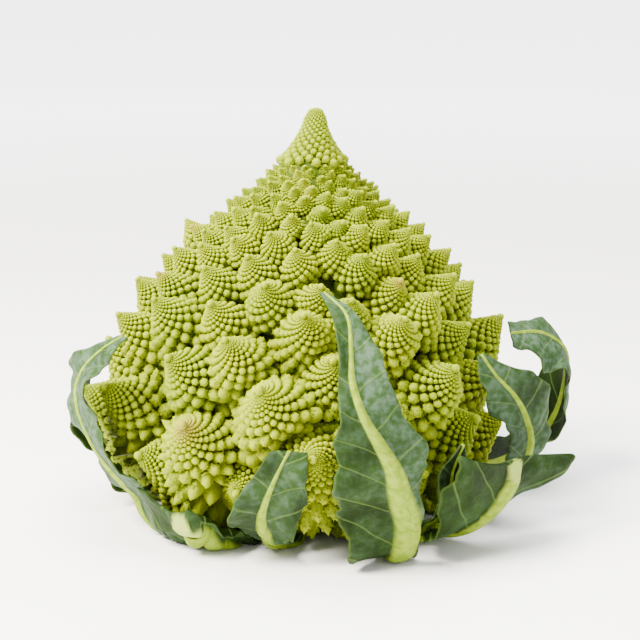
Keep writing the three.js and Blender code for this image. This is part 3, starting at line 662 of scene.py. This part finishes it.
def leafGrid(leaf, maps, phase):
    rows = np.array(leaf["rows"], dtype=float)
    turns = np.radians(rows[:, 1])
    knots = np.stack([rows[:, 0] * np.cos(turns), rows[:, 0] * np.sin(turns), rows[:, 2]], axis=1)
    stations, columns = bladeShape["stations"], bladeShape["columns"]
    t = np.linspace(0, 1, stations)
    middle = smoothCurve(knots, t)
    ahead, behind = np.minimum(t + 1e-3, 1), np.maximum(t - 1e-3, 0)
    along = unit(smoothCurve(knots, ahead) - smoothCurve(knots, behind))
    passed = np.concatenate([[0], np.cumsum(np.linalg.norm(np.diff(middle, axis=0), axis=1))])
    index = np.arange(len(rows))
    left = np.interp(t * (len(rows) - 1), index, rows[:, 3])
    right = np.interp(t * (len(rows) - 1), index, rows[:, 4])
    kernel = np.hanning(11) / np.hanning(11).sum()
    left, right = (
        np.convolve(np.pad(w, 5, mode="edge"), kernel, mode="valid") for w in (left, right))
    radius = np.hypot(middle[:, 0], middle[:, 1])
    azimuth = np.arctan2(middle[:, 1], middle[:, 0])
    petiole = np.clip(1 - (radius - 30) / 35, 0, 1) * (middle[:, 2] < 40)
    # irregular little lobes along the two edges
    (large, largeLength), (little, littleLength) = bladeShape["lobes"]
    for side, w in ((0, left), (1, right)):
        lobes = (large * np.sin(2 * math.pi * passed / largeLength + phase + side)
                 + little * np.sin(2 * math.pi * passed / littleLength + 2 * phase))
        w *= 1 + lobes * (1 - petiole) * smoothstep(w, 3, 9)
    share = np.linspace(-1, 1, columns)
    share = np.sign(share) * np.abs(share) ** 1.15
    side = (share > 0).astype(float)[None, :]
    wide = np.where(share[None, :] < 0, left[:, None], right[:, None])
    across = share[None, :] * wide
    s, r, az = share[None, :], radius[:, None], azimuth[:, None]
    tt, length = t[:, None], passed[:, None]
    soft = 1 - petiole[:, None]
    edge = s**2 * soft * np.minimum(1, 5 * (1 - tt))
    rippleStart = np.where(side > 0, 2.6, 0.4)
    ripple = np.sin(2 * math.pi * length / bladeShape["waveLength"] + rippleStart)
    fineHeight, fineLength = bladeShape["fineWave"]
    fine = np.sin(2 * math.pi * length / fineLength + phase + 1.3 * side)
    fine = fine * s**4 * soft * smoothstep(wide, 4, 10)
    flapOut, flapFrom = leaf.get("flap", (0, 0))
    flap = side * flapOut * (across / 20) ** 2 * smoothstep(tt, flapFrom, flapFrom + 0.25)
    liftLeft, liftRight = leaf.get("lift", (0, 0))
    lift = np.where(side > 0, liftRight, liftLeft) * s**2 * smoothstep(tt, 0.45, 0.8)
    twistBy, twistFrom = leaf.get("twist", (0, 0))
    twist = math.radians(twistBy) * smoothstep(tt, twistFrom, twistFrom + 0.3)
    turn = across * np.cos(twist) / r
    around = np.stack([-np.sin(az + turn), np.cos(az + turn), 0 * turn], axis=-1)
    ct, st = np.cos(turn), np.sin(turn)
    a = along[:, None, :]
    turned = np.stack([
        a[..., 0] * ct - a[..., 1] * st,
        a[..., 0] * st + a[..., 1] * ct,
        a[..., 2] + 0 * ct], axis=-1)
    normal = unit(np.cross(around, turned))
    heights = middle[:, None, 2] + lift
    centre = np.stack([r * np.cos(az + turn), r * np.sin(az + turn), heights], axis=-1)
    push = edge * (leaf["wave"] * ripple + leaf["curl"]) + flap + fineHeight * fine
    push = push + across * np.sin(twist)
    centre = centre + normal * push[..., None]
    # side veins leave the rib every few millimetres and swing towards the tip
    slant, stagger = bladeShape["veinSlant"], bladeShape["veinStagger"]
    veinAt = (length - slant * np.abs(across) + stagger * side) / bladeShape["veinSpacing"]
    toVein = np.abs(veinAt - np.round(veinAt)) * bladeShape["veinSpacing"]
    blade = soft * smoothstep(np.abs(across), 1.5, 4) * (1 - s**6)
    vein = np.exp(-((toVein / bladeShape["veinWidth"]) ** 2)) * bladeShape["veinHeight"]
    vein = vein * blade * (1 - 0.7 * np.abs(s))
    puff = bladeShape["puff"] * blade * np.cos(math.pi * np.clip(toVein / 5.5, 0, 1)) * -0.5
    # keep clear of the curd
    widest, lowest = maps
    thick = (bladeShape["thickness"] + bladeShape["petioleThickness"] * petiole)[:, None]
    margin = thick / 2 + bladeShape["clearance"]
    rr = np.hypot(centre[..., 0], centre[..., 1])
    aa = np.arctan2(centre[..., 1], centre[..., 0])
    under = normal[..., 2] < -0.75
    belowCurd = np.minimum(centre[..., 2], readMap(lowest, aa, rr) - margin)
    centre[..., 2] = np.where(under, belowCurd, centre[..., 2])
    wanted = np.where(under, rr, np.maximum(rr, readMap(widest, aa, centre[..., 2]) + margin))
    centre[..., :2] *= (wanted / rr)[..., None]
    for _ in range(2):  # let the push fade into its neighbours
        inner = centre[1:-1, 1:-1]
        centre[1:-1, 1:-1] = 0.5 * inner + 0.125 * (
            centre[:-2, 1:-1] + centre[2:, 1:-1] + centre[1:-1, :-2] + centre[1:-1, 2:])
    d1 = np.gradient(centre, axis=0)
    d2 = np.gradient(centre, axis=1)
    normal = unit(np.cross(d2, d1))
    ribBase, ribEnd = leaf.get("rib", (11, 0.3))
    taper = 1.0 if "cut" in leaf else bladeShape["ribTaper"]
    ribHalf = ribEnd + (ribBase - ribEnd) * (1 - t) ** taper
    ribHalf = np.minimum(ribHalf, 0.9 * np.minimum(left, right))[:, None]
    ribHeight = 0.35 + 0.62 * ribHalf + 0.6 * petiole[:, None]
    cutLength = leaf.get("cut", 0)  # a slanting cut shows the pale flesh of the rib
    cutPlace = np.clip((length - length[-1] + cutLength) / max(cutLength, 1e-6), 0, 1)
    cutPlace = cutPlace * (cutLength > 0)
    ribHeight = ribHeight * (1 - cutPlace)
    rib = np.sqrt(np.clip(1 - (across / ribHalf) ** 2, 0, 1)) * ribHeight
    thin = thick * (1 - 0.55 * s**8)
    outer = centre + normal * (thin / 2 + rib + vein + puff)[..., None]
    innerFace = centre + normal * (-thin / 2 + puff + 0.5 * vein)[..., None]
    outer[..., 2] = np.maximum(outer[..., 2], 0)
    innerFace[..., 2] = np.maximum(innerFace[..., 2], np.where(outer[..., 2] == 0, thin, 0))
    ribShare = np.clip(1.25 - np.abs(across) / (ribHalf + 0.3), 0, 1)
    ribShare = np.maximum(ribShare, np.clip(1 - (radius - 18) / 24, 0, 1)[:, None])
    ribShare = ribShare * (1 - smoothstep(cutPlace, 0, 0.3))
    cutShare = (across / ribHalf) ** 2 + (2 * cutPlace - 1) ** 2
    cutShare = smoothstep(-cutShare, -1.15, -0.85) * (cutLength > 0)
    cutShare = cutShare * (length > length[-1] - cutLength)
    bloomLeft, bloomRight = leaf.get("bloom", (0.5, 0.5))
    facts = {"ribShare": ribShare, "toEdge": np.abs(s) + 0 * length, "cutShare": cutShare,
             "bloomShare": np.where(side > 0, bloomRight, bloomLeft) + 0 * length}
    return outer, innerFace, across + 0 * length, length + 0 * across, facts


def leafMesh(leaf, maps, phase):
    outer, inner, across, along, facts = leafGrid(leaf, maps, phase)
    rows, columns = across.shape
    index = np.arange(rows * columns).reshape(rows, columns)
    a, b, c, d = index[:-1, :-1], index[:-1, 1:], index[1:, 1:], index[1:, :-1]
    face = np.concatenate(
        [np.stack(corners, -1).reshape(-1, 3) for corners in ((a, b, c), (a, c, d))])
    count = rows * columns
    faces = [face, face[:, ::-1] + count]
    rim = np.concatenate([index[0, :-1], index[:-1, -1], index[-1, :0:-1], index[:0:-1, 0]])
    after = np.roll(rim, -1)
    faces += [np.stack([rim, rim + count, after + count], -1),
              np.stack([rim, after + count, after], -1)]
    points = np.concatenate([outer.reshape(-1, 3), inner.reshape(-1, 3)])
    uv = np.stack([across.ravel(), along.ravel()], -1)
    facts = {key: np.tile(value.ravel(), 2) for key, value in facts.items()}
    facts["innerFace"] = np.repeat([0.0, 1.0], count)
    return points, np.concatenate(faces), facts, np.concatenate([uv, uv])


leafFinish = {
    "green": ("#101e03", "#1e3208"), "bloom": ("#293f1e", "#465a48"),
    "inner": ("#0a1404", "#162606"), "rib": ("#677d16", "#7e9228"),
    "net": "#34481e", "vein": "#5a7036", "edge": "#4a5e28", "cut": "#8ea048",
    "netScale": 0.28,  # meshes of 3.6 mm, as the map is in millimetres
    "roughness": (0.45, 0.62),
    "shader": {
        "Specular IOR Level": 0.04, "Subsurface Weight": 0.08,
        "Subsurface Radius": (0.5, 1.0, 0.2), "Subsurface Scale": 0.001},
}


def leafMaterial():
    # brassica leaf: waxy blue-green bloom on the outer face, rubbed off in patches, pale watery
    # veins
    material, tree, shader = newMaterial("brassicaLeaf")
    fact = {key: addNode(tree, "Attribute", out="Fac", attribute_name=key)
            for key in ("ribShare", "toEdge", "innerFace", "bloomShare", "cutShare")}
    place = addNode(tree, "TexCoord", out="Object")
    flat = addNode(tree, "UVMap", out="UV", uv_map="bladeMap")
    acrossRib = addNode(tree, "SeparateXYZ", {"Vector": flat}, "X")
    alongRib = acrossRib.node.outputs["Y"]
    bend = addNode(tree, "TexNoise", {"Vector": place, "Scale": 90.0, "Detail": 1.0}, "Fac")
    wax = addNode(
        tree, "TexNoise", {"Vector": place, "Scale": 55.0, "Detail": 5.0, "Roughness": 0.6}, "Fac")
    fineWax = addNode(tree, "TexNoise", {"Vector": place, "Scale": 420.0, "Detail": 3.0}, "Fac")
    streak = addNode(tree, "TexNoise", {"Vector": flat, "Scale": 0.35, "Detail": 4.0}, "Fac")
    soft = {"interpolation_type": "SMOOTHSTEP"}

    # distance to the nearest side vein, bent a little
    spacing = float(bladeShape["veinSpacing"])
    away = addNode(tree, "Math", {0: acrossRib}, operation="ABSOLUTE")
    rightSide = addNode(tree, "Math", {0: acrossRib, 1: 0.0}, operation="GREATER_THAN")
    shift = addNode(
        tree, "Math", {0: rightSide, 1: bladeShape["veinStagger"]}, operation="MULTIPLY")
    bent = addNode(tree, "Math", {0: bend, 1: 0.5}, operation="SUBTRACT")
    bent = addNode(tree, "Math", {0: bent, 1: 3.0}, operation="MULTIPLY")
    swing = addNode(tree, "Math", {0: away, 1: bladeShape["veinSlant"]}, operation="MULTIPLY")
    toVein = addNode(tree, "Math", {0: alongRib, 1: swing}, operation="SUBTRACT")
    for first, operation in ((shift, "ADD"), (bent, "ADD"), (spacing, "DIVIDE"), (100.5, "ADD"),
                             (0.5, "PINGPONG")):
        toVein = addNode(tree, "Math", {0: toVein, 1: first}, operation=operation)
    toVein = addNode(tree, "Math", {0: 0.5, 1: toVein}, operation="SUBTRACT")
    toVein = addNode(tree, "Math", {0: toVein, 1: spacing}, operation="MULTIPLY")
    sideVein = addNode(tree, "MapRange", {0: toVein, 1: 0.15, 2: 0.65, 3: 1.0, 4: 0.0}, **soft)
    net = addNode(tree, "TexVoronoi", {"Vector": flat, "Scale": leafFinish["netScale"]},
                  "Distance", feature="DISTANCE_TO_EDGE")
    net = addNode(tree, "MapRange", {0: net, 1: 0.0, 2: 0.09, 3: 1.0, 4: 0.0}, **soft)

    # each surface runs from one green to another
    waxShare = addNode(tree, "MapRange", {0: wax, 1: 0.35, 2: 0.65, 3: 0.0, 4: 1.0}, **soft)
    fineShare = addNode(tree, "MapRange", {0: fineWax, 1: 0.35, 2: 0.7, 3: 0.0, 4: 1.0}, **soft)
    streakShare = addNode(tree, "MapRange", {0: streak, 1: 0.35, 2: 0.65, 3: 0.0, 4: 1.0}, **soft)
    shown = {}
    for name, share in (("green", waxShare), ("bloom", fineShare), ("inner", waxShare),
                        ("rib", streakShare)):
        dark, pale = (hexColor(code) for code in leafFinish[name])
        shown[name] = addNode(tree, "Mix", {0: share, 6: dark, 7: pale}, 2, data_type="RGBA")
    waxed = addNode(tree, "Math", {0: fact["bloomShare"], 1: 0.4}, operation="MULTIPLY")
    waxed = addNode(tree, "Math", {0: wax, 1: waxed}, operation="ADD")
    waxed = addNode(tree, "MapRange", {0: waxed, 1: 0.38, 2: 0.98, 3: 0.0, 4: 1.0}, **soft)
    netShare = addNode(tree, "Math", {0: net, 1: 0.08}, operation="MULTIPLY")
    veinShare = addNode(tree, "Math", {0: sideVein, 1: 0.32}, operation="MULTIPLY")
    edgeShare = addNode(
        tree, "MapRange", {0: fact["toEdge"], 1: 0.955, 2: 0.995, 3: 0.0, 4: 0.28}, **soft)
    ribShare = addNode(
        tree, "MapRange", {0: fact["ribShare"], 1: 0.2, 2: 0.5, 3: 0.0, 4: 1.0}, **soft)
    base = shown["green"]
    for share, top in (
            (waxed, shown["bloom"]), (fact["innerFace"], shown["inner"]),
            (netShare, hexColor(leafFinish["net"])), (veinShare, hexColor(leafFinish["vein"])),
            (edgeShare, hexColor(leafFinish["edge"])), (ribShare, shown["rib"]),
            (fact["cutShare"], hexColor(leafFinish["cut"]))):
        base = addNode(tree, "Mix", {0: share, 6: base, 7: top}, 2, data_type="RGBA")

    # veins, net and wax stand proud
    height = None
    for layer, depth in ((sideVein, 0.6), (net, 0.2), (fineWax, 0.35)):
        layer = addNode(tree, "Math", {0: layer, 1: depth}, operation="MULTIPLY")
        if height is not None:
            layer = addNode(tree, "Math", {0: height, 1: layer}, operation="ADD")
        height = layer
    bump = addNode(tree, "Bump", {"Height": height, "Strength": 0.5, "Distance": 0.0005})
    smooth, dull = leafFinish["roughness"]
    rough = addNode(tree, "MapRange", {0: wax, 1: 0.35, 2: 0.65, 3: smooth, 4: dull}, **soft)
    tree.links.new(base, shader.inputs["Base Color"])
    tree.links.new(bump, shader.inputs["Normal"])
    tree.links.new(rough, shader.inputs["Roughness"])
    finishShader(shader, leafFinish["shader"])
    return material


def buildLeaves():
    maps = reachMap(curdPoints)
    material = leafMaterial()
    for number, (name, leaf) in enumerate(leafShapes.items()):
        points, faces, facts, uv = leafMesh(leaf, maps, bladeShape["phaseStep"] * number)
        piece = meshPiece(name.replace("_", "-"), points, faces, material, facts, uv)
        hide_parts(name)
    print("stage leaves done")


buildLeaves()


stalkFinish = {
    "pith": ("#a3ab72", "#c0c596"), "rind": ("#5f7426", "#84954a"),
    "rindFrom": 0.012, "rindTo": 0.018,  # metres from the axis
    "fibreScale": 500.0,  # fibres of 2 mm
    "roughness": 0.42,
}


def stalkMaterial():
    # cut stalk: pale wet pith inside a greener, fibrous rind
    material, tree, shader = newMaterial("cutStalkFlesh")
    place = addNode(tree, "TexCoord", out="Object")
    level = addNode(
        tree, "VectorMath", {0: place, 1: (1, 1, 0)}, "Vector", operation="MULTIPLY")
    fromAxis = addNode(tree, "VectorMath", {0: level}, "Value", operation="LENGTH")
    fibreInputs = {"Vector": place, "Scale": stalkFinish["fibreScale"], "Detail": 4.0}
    fibres = addNode(tree, "TexNoise", fibreInputs, "Fac")
    shown = {}
    for name in ("pith", "rind"):
        dark, pale = (hexColor(code) for code in stalkFinish[name])
        shown[name] = addNode(tree, "Mix", {0: fibres, 6: dark, 7: pale}, 2, data_type="RGBA")
    rindShare = addNode(
        tree, "MapRange",
        {0: fromAxis, 1: stalkFinish["rindFrom"], 2: stalkFinish["rindTo"], 3: 0.0, 4: 1.0},
        interpolation_type="SMOOTHSTEP")
    base = addNode(
        tree, "Mix", {0: rindShare, 6: shown["pith"], 7: shown["rind"]}, 2, data_type="RGBA")
    bump = addNode(tree, "Bump", {"Height": fibres, "Strength": 0.4, "Distance": 0.0004})
    tree.links.new(base, shader.inputs["Base Color"])
    tree.links.new(bump, shader.inputs["Normal"])
    shader.inputs["Roughness"].default_value = stalkFinish["roughness"]
    return material


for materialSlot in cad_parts["stalk"].material_slots:
    materialSlot.material = stalkMaterial()
print("stage stalk done")


view = {
    "target": (0.0045, 0.0, 0.071),
    "elevation": math.radians(12.5),
    "distance": 0.66,
    "lens": 100.0,
    "sensor": 36.0,
}
studio = {
    "lights": {  # place, size, watts, colour
        "softKey": ((-0.75, -0.45, 1.0), 0.6, 125.0, "#fff8e8"),
        "softTop": ((0.1, 0.3, 1.3), 1.2, 60.0, "#ffffff"),
        "softFill": ((0.9, -0.8, 0.45), 0.8, 6.0, "#ffffff")},
    "lightsAim": (0, 0, 0.06),
    "world": 1.05,
    "floor": "#fbfbfb", "floorSize": 60, "floorHeight": -0.0004,
    # painted light: the floor glows, more further back
    "paintedFloorGlow": {1: 0.45, 2: 1.6, 3: 0.0, 4: 3.5},  # glow of the floor from and to these distances
    "floorShader": {
        "Roughness": 0.22, "Specular IOR Level": 0.3, "Emission Color": (1, 1, 1, 1)},
}


def addToScene(name, data, place, turn):
    thing = bpy.data.objects.new(name, data)
    thing.location = place
    thing.rotation_euler = turn.to_track_quat("-Z", "Y").to_euler()
    bpy.context.collection.objects.link(thing)
    return thing


def buildStage():
    toCamera = Vector((0, -math.cos(view["elevation"]), math.sin(view["elevation"])))
    camera = bpy.data.cameras.new("camera")
    camera.lens = view["lens"]
    camera.sensor_width = view["sensor"]
    place = Vector(view["target"]) + toCamera * view["distance"]
    bpy.context.scene.camera = addToScene("camera", camera, place, -toCamera)

    # a white acrylic sheet that glows further back, painted light standing in for a lit studio
    # sweep, so that it runs out to near white
    material, tree, shader = newMaterial("whiteAcrylicFloor")
    place = addNode(tree, "TexCoord", out="Object")
    away = addNode(tree, "VectorMath", {0: place}, "Value", operation="LENGTH")
    glow = addNode(
        tree, "MapRange", {0: away, **studio["paintedFloorGlow"]}, interpolation_type="SMOOTHSTEP")
    tree.links.new(glow, shader.inputs["Emission Strength"])
    shader.inputs["Base Color"].default_value = hexColor(studio["floor"])
    finishShader(shader, studio["floorShader"])
    bpy.ops.mesh.primitive_plane_add(
        size=studio["floorSize"], location=(0, 0, studio["floorHeight"]))
    floor = bpy.context.active_object
    floor.name = "floor"
    floor.data.materials.append(material)

    for name, (place, size, power, color) in studio["lights"].items():
        lamp = bpy.data.lights.new(name, "AREA")
        lamp.shape = "RECTANGLE"
        lamp.size = lamp.size_y = size
        lamp.energy = power
        lamp.color = hexColor(color)[:3]
        addToScene(name, lamp, place, Vector(studio["lightsAim"]) - Vector(place))

    world = bpy.data.worlds.new("studio")
    world.use_nodes = True
    background = world.node_tree.nodes["Background"]
    background.inputs["Color"].default_value = (1, 1, 1, 1)
    background.inputs["Strength"].default_value = studio["world"]
    bpy.context.scene.world = world
    print("stage light and camera done")


buildStage()
